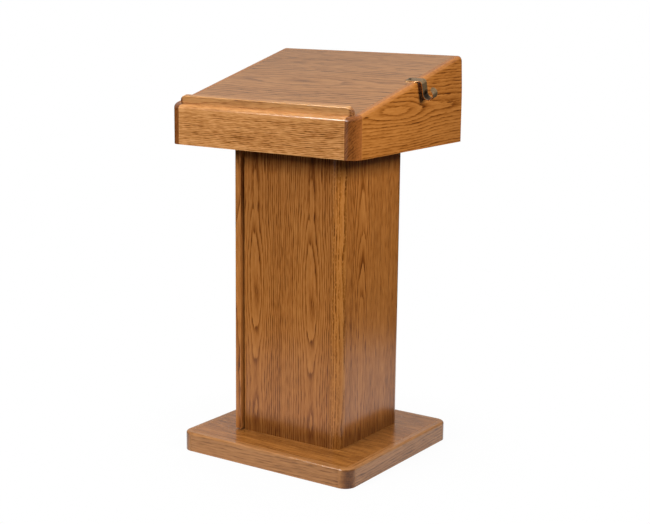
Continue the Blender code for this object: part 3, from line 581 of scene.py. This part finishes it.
pin_low, pin_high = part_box("hinge_1_pin")
for owner, body, outward in (("frame", "carcass", -1), ("door", "door", 1)):
    low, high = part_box(f"hinge_1_{owner}_leaf")
    face_x = (pin_low.x + pin_high.x) / 2 - outward * LEAF_OFF_AXIS
    first = Vector((face_x - outward * SCREW_SUNK, low.y + SCREW_FROM_EDGE, (low.z + high.z) / 2))
    master = flush_screw(f"hinge_screw_{owner}", first, (outward, 0, 0))
    for number in HINGES:
        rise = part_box(f"hinge_{number}_{owner}_leaf")[0].z - low.z
        for row, (up, back) in enumerate(((-SCREW_SPREAD, 0.0), (0.0, SCREW_STAGGER), (SCREW_SPREAD, 0.0))):
            screw = copy_to(master, f"hinge_{number}_{owner}_screw_{row + 1}", (0.0, back, rise + up))
            fit(screw, brass, "hinge_brass", body)
    bpy.data.objects.remove(master)

# Magnetic catch: a black moulded case on the front stile with two steel pole strips at its mouth, and a
# thin plated strike on the door that they hold.
CASE_EASE = 0.0008
POLE_HALF = 0.0011
POLE_PROUD = 0.0002
POLE_DEEP = 0.004
POLE_INSET = 0.006
POLE_EASE = 0.0003
STRIKE_CORNER = 0.003
STRIKE_EASE = 0.0002
low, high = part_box("magnetic_catch")
case = box_board("catch_case", low, high)
sand(case, CASE_EASE)
black, shader, spot = new_finish("catch_black")
scuffs = spot.noise(160.0, 4.0)
spot.mix(scuffs, (0.012, 0.012, 0.013), (0.035, 0.034, 0.033)).feed(shader, "Base Color")
(0.42 + (scuffs - 0.5) * 0.3).feed(shader, "Roughness")
spot.noise(2600.0, 2.0).bump(0.25, 0.0001).feed(shader, "Normal")
fit(case, black, "catch_plastic", "carcass", "magnetic_catch")
for number, share in enumerate((0.3, 0.7)):
    y = low.y + (high.y - low.y) * share
    pole = box_board(f"catch_pole_{number + 1}", Vector((low.x - POLE_PROUD, y - POLE_HALF, low.z + POLE_INSET)),
                     Vector((low.x + POLE_DEEP, y + POLE_HALF, high.z - POLE_INSET)))
    sand(pole, POLE_EASE)
    fit(pole, steel, "bright_steel", "carcass")
low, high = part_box("strike_plate")
strike = box_board("catch_strike", low, high)
for corner_y, corner_z in ((y, z) for y in (low.y, high.y) for z in (low.z, high.z)):
    rout(strike, STRIKE_CORNER, 5, lambda co: near(co.y, corner_y) and near(co.z, corner_z))
sand(strike, STRIKE_EASE)
fit(strike, steel, "bright_steel", "door", "strike_plate")

# Desk front: a solid oak apron with a plain lip along its top, between two dark quarter-round posts, its top
# outer edge rounded over together with the posts after the glue had set.
SLOPE = 0.253107
FRONT_HEIGHT = 0.1098
DESK_ROUND = 0.009
APRON_EASE = 0.0006
APRON_LIP = 0.018
DESK_POST_EASE = 0.0004
APRON_TONES = ((0.57, 0.275, 0.098), (0.430, 0.185, 0.053), (0.23, 0.078, 0.013), (0.09, 0.026, 0.004))
DESK_POST_TONES = ((0.30, 0.100, 0.024), (0.235, 0.074, 0.015), (0.105, 0.031, 0.005), (0.045, 0.013, 0.002))
slope_angle = math.atan(SLOPE)
slope_normal = Vector((0, -math.sin(slope_angle), math.cos(slope_angle)))
apron_low, apron_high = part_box("desk_apron")
desk_floor = apron_low.z
desk_front = apron_low.y
front_edge = (0, desk_front, desk_floor + FRONT_HEIGHT)


def slope_height(y):
    """Height of the reading surface at a depth."""
    return desk_floor + FRONT_HEIGHT + SLOPE * (y - desk_front)


def off_floor(co):
    """True for every corner of the desk's boards that isn't on the desk's floor."""
    return co.z > desk_floor + 0.01


def pitch_top(piece):
    """Bring a board's upper vertices to the slope of the reading surface."""
    bpy.ops.object.mode_set(mode="EDIT")
    bpy.ops.mesh.select_mode(type="VERT")
    depths = sorted({round(v.co.y, 6) for v in piece.data.vertices if off_floor(v.co)})
    for depth in depths:
        bpy.ops.mesh.select_all(action="DESELECT")
        bpy.ops.object.mode_set(mode="OBJECT")
        picked = [v for v in piece.data.vertices if off_floor(v.co) and near(v.co.y, depth)]
        for vertex in picked:
            vertex.select = True
        rise = slope_height(depth) - picked[0].co.z
        bpy.ops.object.mode_set(mode="EDIT")
        bpy.ops.transform.translate(value=(0, 0, rise))
    bpy.ops.object.mode_set(mode="OBJECT")


def desk_board(name, node):
    """A board that stands on the desk's floor and is cut to the slope."""
    low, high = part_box(node)
    board = box_board(name, low, Vector((high.x, high.y, slope_height(high.y))))
    pitch_top(board)
    return board, low, high


apron, low, high = desk_board("desk_front_apron", "desk_apron")
rout(apron, DESK_ROUND, 10, lambda co: near(co.y, desk_front) and off_floor(co))
sand(apron, APRON_EASE)
apron_oak = board_oak("apron_oak", "desk_apron", (1, 0, 0), (0, -1, 0), APRON_TONES, heart=(0.09, -0.03), lean=0.03,
                      ring=0.0046, bold=0.62, grain=1.0, short=2.4, pores=0.22,
                      lip=(front_edge, slope_normal, APRON_LIP), wear=0.004, seed=113.0)
fit(apron, apron_oak, "oak_solid", "carcass", "desk_apron")
for hand, side, seed in (("left", -1, 121.0), ("right", 1, 126.5)):
    node = f"desk_post_{hand}"
    low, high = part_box(node)
    radius = high.x - low.x
    post = round_post(f"desk_front_post_{hand}", low, Vector((high.x, high.y, desk_floor + FRONT_HEIGHT)), side, -1,
                      PANEL_THICKNESS, DESK_ROUND, pitch_top)
    sand(post, DESK_POST_EASE)
    post_oak = board_oak(f"desk_post_oak_{hand}", node, (0, 0, 1), (0, -1, 0), DESK_POST_TONES,
                         heart=(0.25, -0.03), ring=0.005, slant=0.6, bold=0.2, grain=0.3, short=2.2,
                         turned=(-0.5 * radius, 0.35 * radius, 0.38), wear=0.004, seed=seed)
    fit(post, post_oak, "oak_post", "carcass", node)

# Desk sides and back: veneered boards cut to the slope, their top back corner rounded to a wide radius and
# the outer edges of the sides, which have a plain lip, rounded over.
BACK_ROUND = 0.018
SIDE_LIP = 0.011
SIDE_EASE = 0.0005
SIDE_TONES = ((0.415, 0.160, 0.034), (0.305, 0.106, 0.018), (0.165, 0.045, 0.003), (0.07, 0.017, 0.002))
back_offset = BACK_ROUND / math.tan((math.pi / 2 - slope_angle) / 2)
for hand, side, seed in (("left", -1, 133.3), ("right", 1, 138.8)):
    node = f"desk_side_{hand}"
    cheek, low, high = desk_board(f"desk_cheek_{hand}", node)
    outer = high.x if side > 0 else low.x
    round_start = slope_height(high.y) - back_offset - 0.0005
    rout(cheek, back_offset, 10, lambda co: near(co.y, high.y) and off_floor(co))
    rout(cheek, DESK_ROUND, 10,
         lambda co: near(co.x, outer) and (co.z > round_start or near(co.z, slope_height(co.y))))
    sand(cheek, SIDE_EASE)
    cheek_oak = board_oak(f"desk_cheek_oak_{hand}", node, (0, 1, 0), (side, 0, 0), SIDE_TONES,
                          heart=(-0.0065 * side, -0.0245), lean=0.01, crown=(-0.105, 0.25, 0.014), ring=0.0070,
                          bold=0.55, grain=0.6, short=1.8, lip=(front_edge, slope_normal, SIDE_LIP), wear=0.003,
                          seed=seed)
    fit(cheek, cheek_oak, "oak_veneer", "carcass", node)
rear, low, high = desk_board("desk_rear", "desk_back_panel")
rout(rear, back_offset, 10, lambda co: near(co.y, high.y) and off_floor(co))
sand(rear, SIDE_EASE)
rear_oak = board_oak("desk_rear_oak", "desk_back_panel", (1, 0, 0), (0, 1, 0), SIDE_TONES, heart=(0.03, -0.022),
                     lean=0.03, crown=(-0.1, 0.3, 0.012), ring=0.0075, bold=0.5, wear=0.003, seed=144.4)
fit(rear, rear_oak, "oak_veneer", "carcass", "desk_back_panel")

# Desk bottom and cleats: a veneered board that closes the desk below, and two plain strips inside that carry
# the reading top.
for node, along, face, tones, seed in (
        ("desk_bottom_panel", (1, 0, 0), (0, 0, -1), PANEL_TONES, 151.0),
        ("top_cleat_left", (0, 1, 0), (1, 0, 0), INSIDE_TONES, 153.0),
        ("top_cleat_right", (0, 1, 0), (-1, 0, 0), INSIDE_TONES, 155.0)):
    dress(node, board_oak(f"{node}_oak", node, along, face, tones, heart=(0.08, -0.08), lean=0.04, ring=0.007,
                          gloss=0.5, seed=seed))

# Reading top: one veneered board set flush between the sides on the two cleats, its grain across the desk,
# under the same lacquer.
TOP_THICKNESS = 0.019
READING_TONES = ((0.398, 0.182, 0.058), (0.308, 0.132, 0.037), (0.174, 0.066, 0.015), (0.070, 0.025, 0.006))
low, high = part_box("reading_top")
reading_size = (high.x - low.x, (high.y - low.y) / math.cos(slope_angle), TOP_THICKNESS)
dress("reading_top", oak(
    "reading_oak", (low + high) / 2, reading_size, (1, 0, 0), slope_normal, READING_TONES, heart=(-0.02, -0.04),
    crown=(-0.05, 0.30, 0.018), ring=0.012, bold=0.6, grain=0.6, short=1.1, pores=0.25, wear=0.0012, seed=163.9))

# Book stop: a strip of solid oak glued square to the reading top near its low edge, its ends rounded and
# its upper edges eased.
GLUE_GAP = 0.0003
STOP_HEIGHT = 0.0235
STOP_DEPTH = 0.017
STOP_HALF = 0.2885
STOP_SHIFT = 0.0026
STOP_SETBACK = 0.018
STOP_END_ROUND = 0.018
STOP_ROUND = 0.003
STOP_TONES = ((0.55, 0.285, 0.105), (0.440, 0.208, 0.070), (0.24, 0.094, 0.029), (0.10, 0.033, 0.010))
stop = box_board("book_ledge", Vector((-STOP_HALF, 0.0, GLUE_GAP)), Vector((STOP_HALF, STOP_DEPTH, STOP_HEIGHT)))
for end in (-STOP_HALF, STOP_HALF):
    rout(stop, STOP_END_ROUND, 12, lambda co: near(co.x, end) and near(co.z, STOP_HEIGHT))
bpy.ops.object.mode_set(mode="EDIT")
bpy.ops.mesh.select_all(action="SELECT")
bpy.ops.mesh.bisect(plane_co=(0, 0, 0), plane_no=(1, 0, 0))
bpy.ops.object.mode_set(mode="OBJECT")
for depth in (0.0, STOP_DEPTH):
    rout(stop, STOP_ROUND, 8,
         lambda co: near(co.y, depth) and (co.z > 2 * GLUE_GAP or near(abs(co.x), STOP_HALF)))
stop_y = desk_front + STOP_SETBACK
settle(stop, (STOP_SHIFT, stop_y, slope_height(stop_y)), (slope_angle, 0.0, 0.0))
low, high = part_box("book_stop")
stop_front = Vector((0, -math.cos(slope_angle), -math.sin(slope_angle)))
stop_oak = oak("book_stop_oak", (low + high) / 2, (2 * STOP_HALF, STOP_HEIGHT, STOP_DEPTH), (1, 0, 0), stop_front,
               STOP_TONES, heart=(0.02, -0.06), lean=0.02, ring=0.005, bold=0.30, grain=0.85, short=2.0,
               end=(STOP_HALF - 0.013, STOP_HALF - 0.003, 0.62), wear=0.0015, seed=174.1)
fit(stop, stop_oak, "oak_solid", "carcass", "book_stop")

# Hook: one strap of aged bronze, bent over the desk's right edge and curled up beside it, with a round tip
# and one slotted round-headed screw through its top leg.
HOOK_WIDTH = 0.0265
HOOK_THICKNESS = 0.002
HOOK_PLACE = 0.3225
HOOK_DROP_X = 0.3275
HOOK_LEG = 0.052
HOOK_BEND = 0.008
HOOK_CURL = 0.0155
HOOK_DROP = 0.036
HOOK_PAST_LEVEL = math.radians(35)
HOOK_TIP = 0.010
HOOK_TIP_ROUND = 0.013
HOOK_TIP_STEPS = 14
HOOK_EASE = 0.0003
# Where the painted shade inside the hook's curl is centred, below the bend and just outside the drop, and how far it
# reaches.
CURL_SHADE_DROP = 0.041
CURL_SHADE_OUT = 0.006
CURL_SHADE_REACH = 0.020
hook_y = desk_front + HOOK_PLACE
hook_middle = Vector((0.0, hook_y, slope_height(hook_y)))
hook_across = Vector((0, math.cos(slope_angle), math.sin(slope_angle)))
curl_shade_middle = hook_middle + Vector((HOOK_DROP_X + CURL_SHADE_OUT, 0, 0)) - CURL_SHADE_DROP * slope_normal
# The hook's bronze: its strap edges are painted brighter, partly as wear and partly as a highlight, and the inside
# of its curl has painted shade.
bronze = metal("aged_bronze", (0.80, 0.54, 0.28), (0.160, 0.086, 0.034), 0.16, 0.60,
               strap=(hook_middle, hook_across, HOOK_WIDTH / 2), curl_shade=(curl_shade_middle, CURL_SHADE_REACH, (0.11, 0.08, 0.04)))
dark_bronze = metal("dark_bronze", (0.26, 0.19, 0.12), (0.06, 0.044, 0.030), 0.36, 0.6)
level = GLUE_GAP + HOOK_THICKNESS / 2
leg_start = HOOK_DROP_X - HOOK_LEG
leg_end = HOOK_DROP_X - HOOK_BEND
bpy.ops.object.select_all(action="DESELECT")
bpy.ops.mesh.primitive_plane_add(size=1.0, location=((leg_start + leg_end) / 2, 0, level))
hook = bpy.context.object
hook.name = "strap_hook"
hook.scale = (leg_end - leg_start, HOOK_WIDTH, 1.0)
bpy.ops.object.transform_apply(location=True, rotation=True, scale=True)
pick_edges(hook, lambda co: near(co.x, leg_end))
bpy.ops.mesh.spin(steps=14, angle=-math.pi / 2, center=(leg_end, 0, level - HOOK_BEND), axis=(0, 1, 0))
bpy.ops.mesh.extrude_region_move(TRANSFORM_OT_translate={"value": (0, 0, -HOOK_DROP - level + HOOK_BEND)})
bpy.ops.mesh.spin(steps=44, angle=math.pi + HOOK_PAST_LEVEL, center=(HOOK_DROP_X + HOOK_CURL, 0, -HOOK_DROP),
                  axis=(0, 1, 0))
done = 0.0
width = 1.0
for step in range(1, HOOK_TIP_STEPS + 1):
    run = HOOK_TIP * math.sin(math.pi / 2 * step / HOOK_TIP_STEPS)
    inside = (HOOK_TIP_ROUND - HOOK_TIP + run) / HOOK_TIP_ROUND
    narrow = max(math.sqrt(1 - inside * inside), 0.02)
    bpy.ops.mesh.extrude_region_move(TRANSFORM_OT_translate={"value": (
        -math.sin(HOOK_PAST_LEVEL) * (run - done), 0, math.cos(HOOK_PAST_LEVEL) * (run - done))})
    bpy.ops.transform.resize(value=(1, narrow / width, 1))
    done = run
    width = narrow
bpy.ops.mesh.select_all(action="SELECT")
bpy.ops.mesh.remove_doubles(threshold=0.000001)
bpy.ops.mesh.normals_make_consistent(inside=False)
bpy.ops.object.mode_set(mode="OBJECT")
strap = hook.modifiers.new("thickness", "SOLIDIFY")
strap.thickness = HOOK_THICKNESS
strap.offset = 0.0
strap.use_even_offset = True
bpy.ops.object.modifier_apply(modifier="thickness")
eased = hook.modifiers.new("eased", "BEVEL")
eased.width = HOOK_EASE
eased.segments = 2
eased.limit_method = "ANGLE"
eased.angle_limit = math.radians(50)
bpy.ops.object.modifier_apply(modifier="eased")
HEAD_RADIUS = 0.0042
HEAD_HEIGHT = 0.0026
HEAD_ROUND = 0.0020
SHANK_RADIUS = 0.0021
SHANK_LENGTH = 0.016
SLOT_HALF = 0.0006
SLOT_DEEP = 0.0011
SLOT_PAST = 0.001
screw_x = leg_start + 0.008
seat = HOOK_THICKNESS + 2 * GLUE_GAP
crest = seat + HEAD_HEIGHT
shank = round_bar("shank", SHANK_RADIUS, SHANK_LENGTH, (screw_x, 0, seat - SHANK_LENGTH / 2), 24)
head = round_bar("strap_hook_screw", HEAD_RADIUS, HEAD_HEIGHT, (screw_x, 0, seat + HEAD_HEIGHT / 2), 36)
rout(head, HEAD_ROUND, 6, lambda co: near(co.z, crest))
cut(head, box_board("blade", Vector((screw_x - SLOT_HALF, -0.006, crest - SLOT_DEEP)),
                    Vector((screw_x + SLOT_HALF, 0.006, crest + SLOT_PAST))))
take(head)
shank.select_set(True)
bpy.ops.object.join()
for piece in (hook, head):
    settle(piece, hook_middle, (slope_angle, 0.0, 0.0))
fit(hook, bronze, "aged_bronze", "carcass", "edge_hook")
fit(head, dark_bronze, "aged_bronze", "carcass", "hook_screw")

# Studio: a white paper sheet on the floor, which takes the shadow and seems white to the camera, and a dim
# room that brightens overhead and shows as white behind the lectern.
SHEET_SIDE = 3.4
WHITE = (1.0, 1.0, 1.0, 1.0)
bpy.ops.object.select_all(action="DESELECT")
bpy.ops.mesh.primitive_plane_add(size=SHEET_SIDE)
floor = bpy.context.object
floor.name = "studio_sheet"
paper = bpy.data.materials.new("studio_paper")
paper.use_nodes = True
paper.node_tree.nodes.clear()


def camera_rays(tree):
    """Two switches: 1 on rays straight from the camera, and 1 on rays reflected or let through on the way."""
    rays = tree.nodes.new("ShaderNodeLightPath").outputs
    straight, glossy, passed = (
        Lacquer(tree, rays[name]) for name in ("Is Camera Ray", "Is Glossy Ray", "Is Transmission Ray"))
    return straight, straight.math("MAXIMUM", glossy, passed)


straight, mirrored = camera_rays(paper.node_tree)
spot = Lacquer(paper.node_tree, paper.node_tree.nodes.new("ShaderNodeTexCoord").outputs["Object"])
reach = spot.node("ShaderNodeVectorMath", {"operation": "LENGTH"}, {0: spot}, 1)
clear = reach.smooth(0.30, 0.70, start=0.95, stop=1.0)
bright = reach.smooth(1.0, 1.7, start=0.78, stop=0.0)
paper_white = reach.smooth(0.50, 0.95, start=0.60, stop=0.04)
matt = spot.node("ShaderNodeBsdfDiffuse", {}, {"Color": paper_white})
white = spot.node("ShaderNodeEmission", {}, {"Color": WHITE, "Strength": 1.0})
sheet = spot.node("ShaderNodeMixShader", {}, {0: straight * clear + mirrored * bright, 1: matt, 2: white})
sheet.feed(paper.node_tree.nodes.new("ShaderNodeOutputMaterial"), "Surface")
floor.data.materials.append(paper)

world = bpy.context.scene.world or bpy.data.worlds.new("studio")
bpy.context.scene.world = world
world.use_nodes = True
room = world.node_tree
straight, mirrored = camera_rays(room)
way = Lacquer(room, room.nodes.new("ShaderNodeTexCoord").outputs["Generated"])
rise = way.ways()[2] * 0.5 + 0.5
dome = rise.ramp((0.47, 0.025), (0.60, 0.22), (0.72, 0.32), (0.80, 0.44), (1.0, 0.62))
paper_wall = rise.ramp((0.51, 0.0), (0.56, 0.20), (0.64, 0.20), (0.74, 0.0))
background = room.nodes["Background"]
background.inputs["Color"].default_value = WHITE
(straight + (1 - straight) * (dome + mirrored * paper_wall)).feed(background, "Strength")

# Lights: a soft box at the front left and one at the right, a small one high at the left, two cards that only
# show in the lacquer, one low and one tall for the glint on the apron's edge, and a soft box for the back.
for name, place, aim, width, height, power in (
        ("left_softbox", (-0.65, -3.35, 2.17), (0.0, -0.1, 0.9), 1.5, 1.0, 108.0),
        ("right_softbox", (1.50, -0.25, 1.52), (0.1, 0.0, 0.8), 0.6, 0.42, 25.0),
        ("upper_near", (-1.05, -0.85, 3.0), (0.1, -0.3, 1.0), 0.8, 0.45, 28.0),
        ("tall_card", (-1.31, -2.38, 2.38), (0.24, -0.30, 1.02), 0.42, 1.2, 52.0),
        ("low_card", (-0.355, -3.215, 0.62), (0.31, -0.29, 0.97), 1.3, 0.35, 1.1),
        ("back_softbox", (-1.9, 2.9, 1.25), (0.0, 0.0, 0.6), 1.6, 1.2, 80.0)):
    lamp = bpy.data.lights.new(name, "AREA")
    lamp.shape = "RECTANGLE"
    lamp.size = width
    lamp.size_y = height
    lamp.energy = power
    holder = bpy.data.objects.new(name, lamp)
    bpy.context.scene.collection.objects.link(holder)
    holder.location = place
    holder.rotation_euler = (Vector(aim) - Vector(place)).to_track_quat("-Z", "Y").to_euler()
    holder.visible_camera = False
    holder.visible_diffuse = name not in ("low_card", "tall_card")
    holder.visible_glossy = name not in ("right_softbox", "back_softbox", "upper_near")

# Camera: a long lens at the lectern's right front, a little above its desk and turned very slightly, as in
# the photograph.
AZIMUTH = math.radians(33.957)
ELEVATION = math.radians(11.6447)
ROLL = math.radians(0.6069)
EYE = (2.248, -3.3032, 1.3832)
back = Vector((math.sin(AZIMUTH), -math.cos(AZIMUTH), math.tan(ELEVATION))).normalized()
right = Vector((math.cos(AZIMUTH), math.sin(AZIMUTH), 0.0))
up = back.cross(right)
turn = Matrix((right * math.cos(ROLL) + up * math.sin(ROLL),
               up * math.cos(ROLL) - right * math.sin(ROLL), back)).transposed()
lens = bpy.data.cameras.new("photograph")
lens.sensor_width = 36.0
lens.lens = 76.70
viewer = bpy.data.objects.new("photograph", lens)
bpy.context.scene.collection.objects.link(viewer)
viewer.matrix_world = Matrix.Translation(EYE) @ turn.to_4x4()
bpy.context.scene.camera = viewer
bpy.context.scene.view_settings.view_transform = "Standard"
